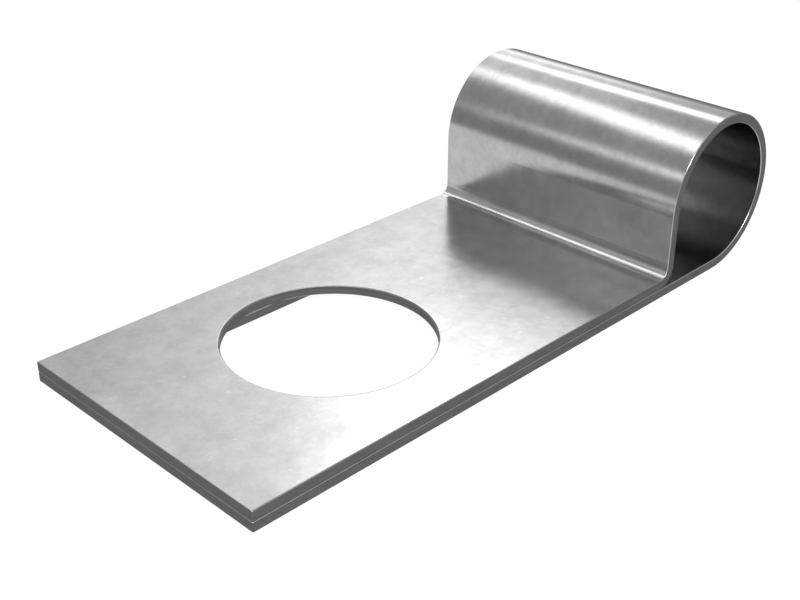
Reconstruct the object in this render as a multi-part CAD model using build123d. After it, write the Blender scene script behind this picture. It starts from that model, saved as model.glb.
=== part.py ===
from build123d import *
import os

# Tube clip, folded from one flat strip of sheet steel. Millimetres, +Z up.
# The origin is the centre of the loop that grips the tube, and +Y runs along the tube.
# The strip starts as a lower leaf on the ground, goes three quarters of the way round the
# tube, drops straight down beside the loop, turns out through one tight bend and ends as
# an upper leaf that lies on the lower leaf. Both free ends are sheared flush.

# Driving dimensions: the strip
strip_width = 30.0
gauge = 1.0
edge_break = 0.1  # radius left on the sheared edges, and width of the flat on the punched ones

# Driving dimensions: the folds
tube_diameter = 15.0
grip = 0.2  # how much smaller the free loop's bore is than the tube
bend_inside = 1.0  # radius on the hollow side of the tight bend
leaf_gap = 0.03  # what is left between the two leaves after they are pressed together

# Driving dimensions: the fixing
hole_to_tube = 40.0  # centre of the fixing hole to the centre of the tube
hole_diameter = 20.0
slot_travel = 6.0  # how far each end of the lower leaf's slot stands past the hole
end_land = 5.25  # metal between the slot and the free end

# Sizes that follow from the driving dimensions
bore_radius = (tube_diameter - grip) / 2
loop_radius = bore_radius + gauge
lower_leaf_bottom = -loop_radius
lower_leaf_top = lower_leaf_bottom + gauge
upper_leaf_bottom = lower_leaf_top + leaf_gap
upper_leaf_top = upper_leaf_bottom + gauge
bend_x = -loop_radius - bend_inside
bend_z = upper_leaf_top + bend_inside
hole_x = -hole_to_tube
slot_length = hole_diameter + 2 * slot_travel
free_end_x = hole_x - slot_length / 2 - end_land


def skin(depth):
    """One face of the sheet in side view, from the lower free end to the upper one.

    Depth is measured into the sheet from the face that is outermost on the loop.
    """
    loop_r = loop_radius - depth
    bend_r = bend_inside + depth
    lower_leaf = Line((free_end_x, -loop_r), (0, -loop_r))
    loop = CenterArc((0, 0), loop_r, -90, 270)
    wall = Line((-loop_r, 0), (-loop_r, bend_z))
    bend = CenterArc((bend_x, bend_z), bend_r, 0, -90)
    upper_leaf = Line((bend_x, bend_z - bend_r), (free_end_x, bend_z - bend_r))
    return [lower_leaf, loop, wall, bend, upper_leaf]


def folded_blank():
    """The folded strip before it is pierced: its side view, made as wide as the strip."""
    outer = skin(0)
    inner = skin(gauge)
    lower_end = Line(outer[0] @ 0, inner[0] @ 0)
    upper_end = Line(outer[-1] @ 1, inner[-1] @ 1)
    side_view = Plane.XZ * make_face([*outer, *inner, lower_end, upper_end])
    return extrude(side_view, amount=strip_width / 2, both=True)


def sheared_edges(blank):
    """The outlines of the two long sides, and the edges across the two free ends."""
    long_sides = blank.faces().filter_by(Axis.Y)
    free_ends = blank.faces().filter_by(Axis.X).group_by(Axis.X)[0]
    return long_sides.edges() + free_ends.edges().filter_by(Axis.Y)


def pierce(sheet, outline, leaf_bottom):
    """Cuts the outline through one leaf only, and deburrs both rims of the opening."""
    overrun = leaf_gap / 2
    punch = extrude(outline, amount=gauge + 2 * overrun)
    punch = Pos(hole_x, 0, leaf_bottom - overrun) * punch
    pierced = sheet - punch
    rims = new_edges(sheet, punch, combined=pierced)
    return chamfer(rims, edge_break)


def clip_strip():
    """The whole clip: folded, rounded along its sheared edges, then pierced in each leaf."""
    blank = folded_blank()
    blank = fillet(sheared_edges(blank), edge_break)
    with_hole = pierce(blank, Circle(hole_diameter / 2), upper_leaf_bottom)
    return pierce(with_hole, SlotOverall(slot_length, hole_diameter), lower_leaf_bottom)


os.makedirs("parts", exist_ok=True)
export_step(clip_strip(), "parts/clip_strip.step")
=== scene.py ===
import math

import bpy
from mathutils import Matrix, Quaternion, Vector


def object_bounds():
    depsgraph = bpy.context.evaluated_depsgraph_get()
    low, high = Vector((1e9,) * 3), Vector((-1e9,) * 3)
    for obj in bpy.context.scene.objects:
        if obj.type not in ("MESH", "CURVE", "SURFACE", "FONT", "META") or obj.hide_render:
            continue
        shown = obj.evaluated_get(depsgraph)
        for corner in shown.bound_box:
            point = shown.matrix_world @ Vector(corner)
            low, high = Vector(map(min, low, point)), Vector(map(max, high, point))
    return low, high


# Tube clip: looks for the imported frame. Metres, +Z up, same axes as the CAD model.
# The folded strip is shown as it is. It gets a cloudy rolled steel skin, duller sheared and
# punched edges that are further darkened as painted shade, a drawn-in lip round each opening
# with a painted shade line at its rim, a painted highlight line along the tight bend, painted
# light inside the loop and painted shade on the shine beyond the loop's crown.
# The studio is a pale floor, a soft room and softboxes.

# The camera, from the corners and circles of the photograph
camera_place = Vector((-0.10615, -0.07552, 0.05183))
camera_aim = Vector((-0.03877, -0.00790, 0.0))
picture_width = 800
focal_pixels = 1268.5
sensor_width = 36.0
nearest_seen = 0.005
farthest_seen = 20.0

# The floor
floor_half = 3.0
floor_paint = 0.8
floor_white = 0.85  # share of plain white in what the lens and gloss see of the floor
floor_white_strength = 1.1

# The bare room: dark to one side, light to the other, and even overhead
room_dark = 0.35
room_light = 0.68
room_light_azimuth = 1.0
room_dark_end = -0.5  # how far a ray leans to the light side where the dark side ends
room_overhead = 0.47
overhead_start = 0.1  # how far a ray points up where the sides start to give way
overhead_full = 0.8

# Softboxes in the room: azimuth, elevation, turn, width, height, feather (degrees), strength
softboxes = (
    (40, 36, -12, 13, 5, 9, 4.9),  # rear key
    (50, 29, -34, 15, 54, 15, 0.88),  # tall panel behind the key
    (103, 58, 15, 34, 4, 13, 2.9),  # strip above the loop
    (156, 29, 10, 28, 4, 12, 1.5),  # low strip on the left
    (-115, 48, 0, 90, 50, 40, 0.9),  # broad fill behind the camera
    (40, 13, 0, 12, 12, 8, 1.05),  # low box behind the loop
    (-104, 27, 0, 12, 12, 7, 38.0),  # small front light that glints on the edges
)

# The clip, as it was modelled
gauge = 0.001
leaf_gap = 0.00003
loop_radius = 0.0084
hole_place = -0.040
hole_radius = 0.010
slot_travel = 0.006
leaf_split = -loop_radius + gauge + leaf_gap / 2  # halfway between the two leaves
openings_end = -2 * loop_radius  # both openings lie wholly beyond this X
bend_line = -0.0093  # where the upper leaf turns up into the wall

# The rolled skin
skin_colour = 0.44
skin_roughness = 0.20
skin_tint = 0.80  # how much of the shine is left at shallow angles
shaded_tint = 0.15  # painted shade: the same beyond the crown of the loop, lowered to darken its shine there
shine_shade_start = 0.0002  # X where the shine starts to fade
shine_shade_full = 0.0023  # X where it has faded
cloud_size = 0.0040
cloud_contrast = 0.21
haze_size = 0.0092
haze_contrast = 0.28
noise_low = 0.25  # levels of the noise between which a finish changes
noise_high = 0.75
inside_light_gain = 1.14  # painted light: the faces inside the loop are made paler
speck_size = 0.0006
speck_start = 0.66  # level of the noise where a speck starts
speck_full = 0.80
speck_gain = 1.2
ripple_size = 0.0018
ripple_height = 0.000005

# The cut edges
# partly painted shade: the sheared and punched edges are made much darker than their duller steel
# would be
cut_tone_and_shade = 0.125
cut_roughness = 0.42
cut_tint = 0.6  # how much of their shine is left at shallow angles
side_start = 0.80  # how squarely a face looks sideways where it starts to be a sheared edge
side_full = 0.97
steep_start = 0.60  # how much a face looks up or down where it starts to be an opening's wall
steep_full = 0.35
streak_size = 0.0004
streak_pace = 0.12  # how fast a streak changes along the edge, against across it
streak_contrast = 0.35

# Marks of the tools, with a painted shade line round the rims and a painted highlight line along the
# bend
lip_width = 0.00022
lip_drop = 0.000010
# painted shade: the skin is darkened in a thin line round each opening's rim
rim_shade_gain = 0.9
# painted highlight: a paler line along the bend, fading out toward both ends of the strip
bend_band_width = 0.00032
bend_highlight_gain = 1.7
bend_highlight_reach = 0.0135  # how far from the middle of the strip the painted highlight fades out
hollow_start = -0.0089  # where the stretched hollow of the bend starts
hollow_top = -0.0048  # how far up the wall it reaches
hollow_gain = 1.8


def node(tree, kind, **settings):
    """A new shader node with its plain settings made."""
    made = tree.nodes.new(kind)
    for name, value in settings.items():
        setattr(made, name, value)
    return made


def math_node(tree, operation, first, second=None):
    """One sum on a value and a second value or number."""
    made = node(tree, "ShaderNodeMath", operation=operation)
    tree.links.new(first, made.inputs[0])
    if isinstance(second, (int, float)):
        made.inputs[1].default_value = second
    elif second is not None:
        tree.links.new(second, made.inputs[1])
    return made.outputs[0]


def product(tree, first, *others):
    """A value multiplied by each of the other values or numbers."""
    total = first
    for factor in others:
        total = math_node(tree, "MULTIPLY", total, factor)
    return total


def ramp(tree, value, low, high, first=0.0, last=1.0, bend="SMOOTHSTEP"):
    """Carries a value that goes from low to high over to one that goes from first to last."""
    made = node(tree, "ShaderNodeMapRange", interpolation_type=bend)
    made.inputs["From Min"].default_value = low
    made.inputs["From Max"].default_value = high
    made.inputs["To Min"].default_value = first
    made.inputs["To Max"].default_value = last
    tree.links.new(value, made.inputs["Value"])
    return made.outputs["Result"]


def blend(tree, share, first, second):
    """Goes from the first value to the second by a share. Either may be a number."""
    made = node(tree, "ShaderNodeMix", data_type="FLOAT")
    tree.links.new(share, made.inputs["Factor"])
    for name, value in (("A", first), ("B", second)):
        if isinstance(value, (int, float)):
            made.inputs[name].default_value = value
        else:
            tree.links.new(value, made.inputs[name])
    return made.outputs["Result"]


def along(tree, vector, axis):
    """How far a vector goes along a fixed direction."""
    made = node(tree, "ShaderNodeVectorMath", operation="DOT_PRODUCT")
    made.inputs[1].default_value = axis
    tree.links.new(vector, made.inputs[0])
    return made.outputs["Value"]


def length(tree, vector):
    """The length of a vector."""
    made = node(tree, "ShaderNodeVectorMath", operation="LENGTH")
    tree.links.new(vector, made.inputs[0])
    return made.outputs["Value"]


def split(tree, vector):
    """The X, Y and Z of a vector."""
    made = node(tree, "ShaderNodeSeparateXYZ")
    tree.links.new(vector, made.inputs[0])
    return made.outputs["X"], made.outputs["Y"], made.outputs["Z"]


def joined(tree, **parts):
    """A vector from the parts that are given by name. The others stay 0."""
    made = node(tree, "ShaderNodeCombineXYZ")
    for name, value in parts.items():
        tree.links.new(value, made.inputs[name])
    return made.outputs[0]


def direction(azimuth, elevation):
    """The unit vector that points at an azimuth and elevation, in degrees."""
    flat = math.cos(math.radians(elevation))
    return Vector((
        flat * math.cos(math.radians(azimuth)),
        flat * math.sin(math.radians(azimuth)),
        math.sin(math.radians(elevation)),
    ))


def add_camera():
    """The photograph's viewpoint: a plain lens, level, looking down on the clip."""
    camera = bpy.data.cameras.new("camera")
    camera.sensor_width = sensor_width
    camera.lens = focal_pixels * sensor_width / picture_width
    camera.clip_start = nearest_seen
    camera.clip_end = farthest_seen
    holder = bpy.data.objects.new("camera", camera)
    holder.location = camera_place
    holder.rotation_euler = (camera_aim - camera_place).to_track_quat("-Z", "Y").to_euler()
    bpy.context.scene.collection.objects.link(holder)
    bpy.context.scene.camera = holder


def floor_material():
    """White to the lens and to reflections, plain pale paint to the light, with its shadow kept."""
    material = bpy.data.materials.new("floor_paint")
    material.use_nodes = True
    tree = material.node_tree
    tree.nodes.clear()
    link = tree.links.new
    paint = node(tree, "ShaderNodeBsdfDiffuse")
    paint.inputs["Color"].default_value = (floor_paint, floor_paint, floor_paint, 1.0)
    glow = node(tree, "ShaderNodeEmission")
    glow.inputs["Strength"].default_value = floor_white_strength
    ray = node(tree, "ShaderNodeLightPath").outputs
    lens_or_gloss = math_node(tree, "MAXIMUM", ray["Is Camera Ray"], ray["Is Glossy Ray"])
    seen = math_node(tree, "MAXIMUM", lens_or_gloss, ray["Is Transmission Ray"])
    mix = node(tree, "ShaderNodeMixShader")
    output = node(tree, "ShaderNodeOutputMaterial")
    link(product(tree, seen, floor_white), mix.inputs["Fac"])
    link(paint.outputs["BSDF"], mix.inputs[1])
    link(glow.outputs["Emission"], mix.inputs[2])
    link(mix.outputs["Shader"], output.inputs["Surface"])
    return material


def add_floor(level):
    """One flat pale floor, level with the clip's foot."""
    mesh = bpy.data.meshes.new("floor")
    sides = ((-1, -1), (1, -1), (1, 1), (-1, 1))
    corners = [(x * floor_half, y * floor_half, level) for x, y in sides]
    mesh.from_pydata(corners, [], [(0, 1, 2, 3)])
    mesh.materials.append(floor_material())
    floor = bpy.data.objects.new("floor", mesh)
    bpy.context.scene.collection.objects.link(floor)


def room_level(tree, ray):
    """How bright the bare room is along a ray."""
    beside = along(tree, ray, direction(room_light_azimuth, 0.0))
    sides = ramp(tree, beside, room_dark_end, 1.0, room_dark, room_light)
    rise = ramp(tree, split(tree, ray)[2], overhead_start, overhead_full)
    return blend(tree, rise, sides, room_overhead)


def feathered_span(tree, ray, axis, span, feather):
    """1 near a softbox's middle along one axis, fading to 0 over a feather that straddles its edge."""
    offset = math_node(tree, "ABSOLUTE", along(tree, ray, axis))
    outer = math.radians((span + feather) / 2)
    inner = math.radians(max((span - feather) / 2, 0.0))
    return ramp(tree, offset, math.sin(outer), math.sin(inner))


def softbox_level(tree, ray, azimuth, elevation, turn, width, height, feather, strength):
    """What one softbox adds along a ray."""
    towards = direction(azimuth, elevation)
    across = Vector((0, 0, 1)).cross(towards).normalized()
    upward = towards.cross(across)
    tilt = Quaternion(towards, math.radians(turn))
    across.rotate(tilt)
    upward.rotate(tilt)
    wide = feathered_span(tree, ray, across, width, feather)
    high = feathered_span(tree, ray, upward, height, feather)
    in_front = math_node(tree, "GREATER_THAN", along(tree, ray, towards), 0.0)
    return product(tree, wide, high, in_front, strength)


def add_room():
    """A soft room with feathered softboxes, as a studio dome."""
    world = bpy.data.worlds.new("room")
    world.use_nodes = True
    tree = world.node_tree
    tree.nodes.clear()
    ray = node(tree, "ShaderNodeTexCoord").outputs["Generated"]
    total = room_level(tree, ray)
    for softbox in softboxes:
        total = math_node(tree, "ADD", total, softbox_level(tree, ray, *softbox))
    background = node(tree, "ShaderNodeBackground")
    output = node(tree, "ShaderNodeOutputWorld")
    tree.links.new(total, background.inputs["Color"])
    tree.links.new(background.outputs["Background"], output.inputs["Surface"])
    bpy.context.scene.world = world


def noise(tree, place, size, detail, roughness):
    """Cloudy noise whose largest blotches are about one size across."""
    made = node(tree, "ShaderNodeTexNoise")
    made.inputs["Scale"].default_value = 1.0 / size
    made.inputs["Detail"].default_value = detail
    made.inputs["Roughness"].default_value = roughness
    tree.links.new(place, made.inputs["Vector"])
    return made.outputs["Fac"]


def varied(tree, value, middle, contrast):
    """Noise made into a finish value that strays from its middle by a share of it."""
    low = middle * (1.0 - contrast)
    high = middle * (1.0 + contrast)
    return ramp(tree, value, noise_low, noise_high, low, high, bend="LINEAR")


def cut_mask(tree, normal, place):
    """1 on the sheared and punched edges of the sheet, 0 on its skin and on the broken corners."""
    _, facing_y, facing_z = split(tree, normal)
    side = ramp(tree, math_node(tree, "ABSOLUTE", facing_y), side_start, side_full)
    steep = ramp(tree, math_node(tree, "ABSOLUTE", facing_z), steep_start, steep_full)
    on_leaf = math_node(tree, "LESS_THAN", split(tree, place)[0], openings_end)
    return math_node(tree, "MAXIMUM", side, product(tree, steep, on_leaf))


def sheet_place(tree, place):
    """Where a point of a cut edge lies: along the sheet, and through its thickness."""
    x, y, z = split(tree, place)
    radius = length(tree, joined(tree, X=x, Z=z))
    round_the_loop = product(tree, math_node(tree, "ARCTAN2", z, x), loop_radius)
    on_loop = math_node(tree, "GREATER_THAN", x, -loop_radius)
    run = math_node(tree, "ADD", blend(tree, on_loop, x, round_the_loop), y)
    through = blend(tree, on_loop, z, radius)
    return run, through


def streaks(tree, place):
    """Fine marks that run along the sheared edges."""
    run, through = sheet_place(tree, place)
    drawn_out = joined(tree, X=product(tree, run, streak_pace), Y=through)
    return noise(tree, drawn_out, streak_size, 4.0, 0.85)


def past_the_rim(tree, place):
    """How far a point lies outside the hole in the upper leaf, or the slot in the lower leaf."""
    x, y, z = split(tree, place)
    beside = math_node(tree, "ABSOLUTE", math_node(tree, "SUBTRACT", x, hole_place))
    in_lower = math_node(tree, "LESS_THAN", z, leaf_split)
    straight = product(tree, in_lower, slot_travel)
    past_straight = math_node(tree, "SUBTRACT", beside, straight)
    from_end = math_node(tree, "MAXIMUM", past_straight, 0.0)
    reach = length(tree, joined(tree, X=from_end, Y=y))
    return math_node(tree, "SUBTRACT", reach, hole_radius)


def painted_bend_highlight(tree, place):
    """1 on the painted highlight line where the upper leaf turns up."""
    x, y, z = split(tree, place)
    offset = math_node(tree, "ABSOLUTE", math_node(tree, "SUBTRACT", x, bend_line))
    line = ramp(tree, offset, bend_band_width, bend_band_width / 4)
    fading = ramp(tree, math_node(tree, "ABSOLUTE", y), bend_highlight_reach, bend_highlight_reach / 2)
    on_upper_leaf = math_node(tree, "GREATER_THAN", z, leaf_split)
    return product(tree, line, fading, on_upper_leaf)


def bend_hollow(tree, place):
    """1 in the stretched hollow of the tight bend."""
    x, _, z = split(tree, place)
    low = ramp(tree, z, hollow_top, hollow_top - bend_band_width)
    from_line = ramp(tree, x, hollow_start, hollow_start + bend_band_width)
    outside = math_node(tree, "LESS_THAN", x, bend_band_width / 2 - loop_radius)
    on_upper_leaf = math_node(tree, "GREATER_THAN", z, leaf_split)
    return product(tree, low, from_line, outside, on_upper_leaf)


def inside_loop(tree, normal, place):
    """1 on the faces that look in at the tube."""
    x, _, z = split(tree, place)
    facing = node(tree, "ShaderNodeVectorMath", operation="DOT_PRODUCT")
    tree.links.new(joined(tree, X=x, Z=z), facing.inputs[0])
    tree.links.new(normal, facing.inputs[1])
    inward = ramp(tree, facing.outputs["Value"], -loop_radius / 4, -loop_radius / 2)
    return product(tree, inward, math_node(tree, "GREATER_THAN", x, -loop_radius))


def skin_paleness(tree, normal, place, past_rim):
    """How pale the skin is: cloudy and specked, with a painted highlight line at the bend, painted
    light inside the loop and painted shade at the rims.
    """
    clouds = varied(tree, noise(tree, place, cloud_size, 8.0, 0.80), skin_colour, cloud_contrast)
    grains = noise(tree, place, speck_size, 2.0, 0.5)
    specks = ramp(tree, grains, speck_start, speck_full, 1.0, speck_gain)
    # painted highlight: the skin is paler along the line at the bend
    bend_highlight = ramp(tree, painted_bend_highlight(tree, place), 0.0, 1.0, 1.0, bend_highlight_gain, bend="LINEAR")
    # painted light: paler on the faces that look in at the tube
    inside_light = ramp(tree, inside_loop(tree, normal, place), 0.0, 1.0, 1.0, inside_light_gain)
    # painted shade: a darker line round each opening's rim
    rim_shade = ramp(tree, past_rim, lip_width / 2, lip_width, rim_shade_gain, 1.0)
    return product(tree, clouds, bend_highlight, inside_light, rim_shade, specks)


def skin_satin(tree, place):
    """How rough the skin is: hazy, and rougher where the tight bend stretched it."""
    haze = varied(tree, noise(tree, place, haze_size, 6.0, 0.80), skin_roughness, haze_contrast)
    stretched = ramp(tree, bend_hollow(tree, place), 0.0, 1.0, 1.0, hollow_gain)
    return product(tree, haze, stretched)


def skin_shine_with_shade(tree, place):
    """How much shine the skin keeps at shallow angles: less beyond the crown of the loop, as painted
    shade.
    """
    return ramp(tree, split(tree, place)[0], shine_shade_start, shine_shade_full, skin_tint, shaded_tint)


def sheet_relief(tree, place, past_rim):
    """The normal of the faintly rippled sheet, drawn in round each opening."""
    ripple = product(tree, noise(tree, place, ripple_size, 4.0, 0.6), ripple_height)
    lip = ramp(tree, past_rim, 0.0, lip_width, 0.0, lip_drop)
    relief = node(tree, "ShaderNodeBump")
    relief.inputs["Distance"].default_value = 1.0
    tree.links.new(math_node(tree, "ADD", ripple, lip), relief.inputs["Height"])
    return relief.outputs["Normal"]


def steel_material():
    """Rolled steel: cloudy satin skin, duller where it was cut and darker there, partly as painted
    shade.
    """
    material = bpy.data.materials.new("strip_steel")
    material.use_nodes = True
    tree = material.node_tree
    link = tree.links.new
    steel = tree.nodes["Principled BSDF"].inputs
    steel["Metallic"].default_value = 1.0
    spot = node(tree, "ShaderNodeTexCoord").outputs
    normal = spot["Normal"]
    place = spot["Object"]
    cut = cut_mask(tree, normal, place)
    marks = streaks(tree, place)
    past_rim = past_the_rim(tree, place)

    pale = skin_paleness(tree, normal, place, past_rim)
    # the cut edges' duller tone, darkened further as painted shade
    edge = varied(tree, marks, cut_tone_and_shade, streak_contrast)
    torn = varied(tree, marks, cut_roughness, streak_contrast)
    link(blend(tree, cut, pale, edge), steel["Base Color"])
    link(blend(tree, cut, skin_satin(tree, place), torn), steel["Roughness"])
    # painted shade: the shine at shallow angles is cut beyond the crown of the loop
    link(blend(tree, cut, skin_shine_with_shade(tree, place), cut_tint), steel["Specular Tint"])
    link(sheet_relief(tree, place, past_rim), steel["Normal"])
    return material


def finish_clip(clip):
    """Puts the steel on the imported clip."""
    material = steel_material()
    for slot in clip.material_slots:
        slot.material = material


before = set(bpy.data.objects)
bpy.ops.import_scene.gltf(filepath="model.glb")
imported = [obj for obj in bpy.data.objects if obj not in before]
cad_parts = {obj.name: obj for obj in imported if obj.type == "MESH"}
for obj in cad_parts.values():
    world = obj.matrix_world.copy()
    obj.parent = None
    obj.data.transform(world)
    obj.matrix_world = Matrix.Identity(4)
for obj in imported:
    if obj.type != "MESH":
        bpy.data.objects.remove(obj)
cad_box = [list(corner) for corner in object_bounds()]

bpy.context.scene.view_settings.view_transform = "Standard"

add_camera()
add_floor(cad_box[0][2])
add_room()
finish_clip(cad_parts["clip_strip"])
